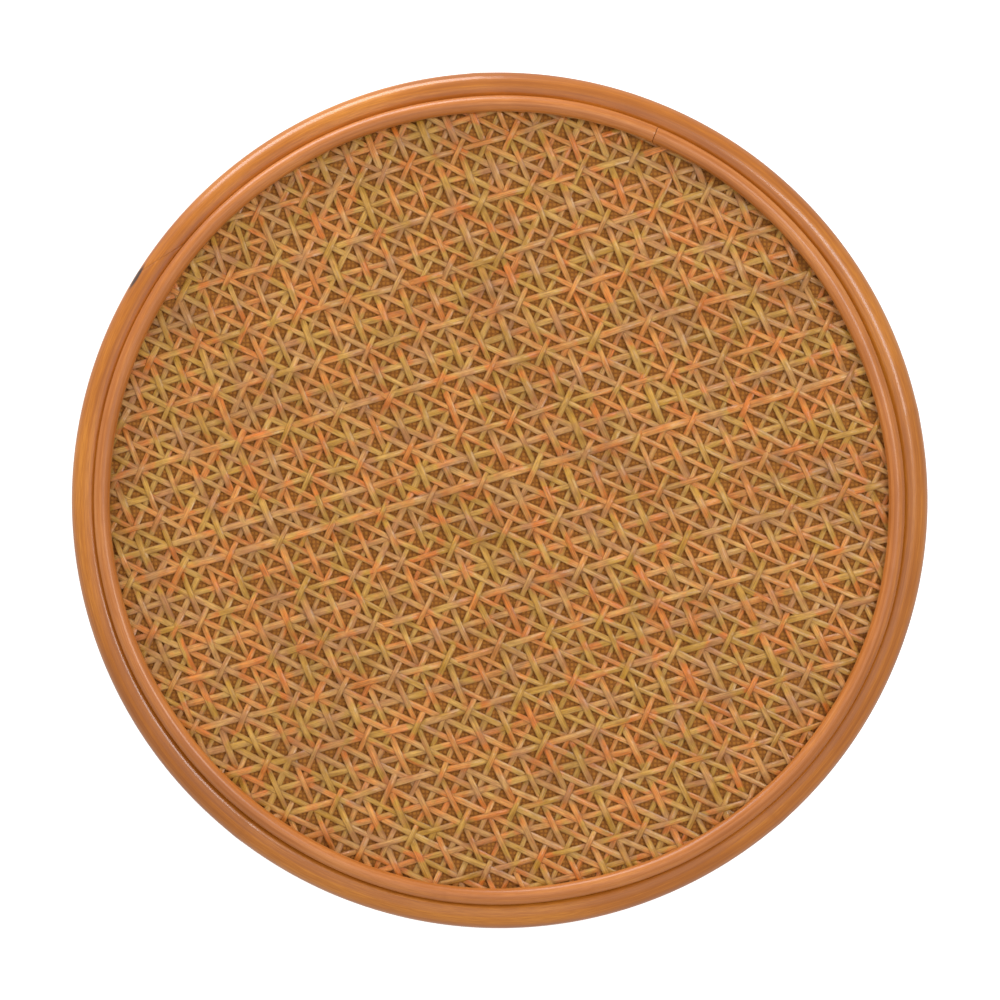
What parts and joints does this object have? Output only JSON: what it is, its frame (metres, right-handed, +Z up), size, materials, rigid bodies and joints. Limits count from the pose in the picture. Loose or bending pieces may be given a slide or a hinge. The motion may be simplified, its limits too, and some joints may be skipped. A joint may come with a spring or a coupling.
{
  "type": "chair seat pad",
  "caption": "Round rattan-framed chair seat pad: a bent pole hoop and a thinner ring clamp a close woven cane web over a thin underlay and a flat plywood base.",
  "frame": {"origin": "centre of the flat underside, which rests on the chair", "axes": "+Z up through the pad's thickness, towards the sitter; +X and +Y lie in the pad, with the cane rows 16 degrees from +X"},
  "size_m": [0.41, 0.41, 0.0206],
  "materials": {
    "hoop_rattan": "varnished",
    "ring_rattan": "varnished",
    "cane": "satin",
    "plywood": "raw",
    "foam": "soft",
    "cloth": "matt",
    "nail_steel": "satin"
  },
  "bodies": {
    "root": {"outer_hoop": "hoop_rattan", "inner_ring": "ring_rattan", "cane_rising_diagonals": "cane", "cane_rows": "cane", "cane_columns": "cane", "cane_falling_diagonals": "cane", "backing_cloth": "cloth", "foam_underlay": "foam", "base_board": "plywood", "ring_brads": "nail_steel", "board_pins": "nail_steel", "scarf_brads": "nail_steel"}
  },
  "joints": []
}
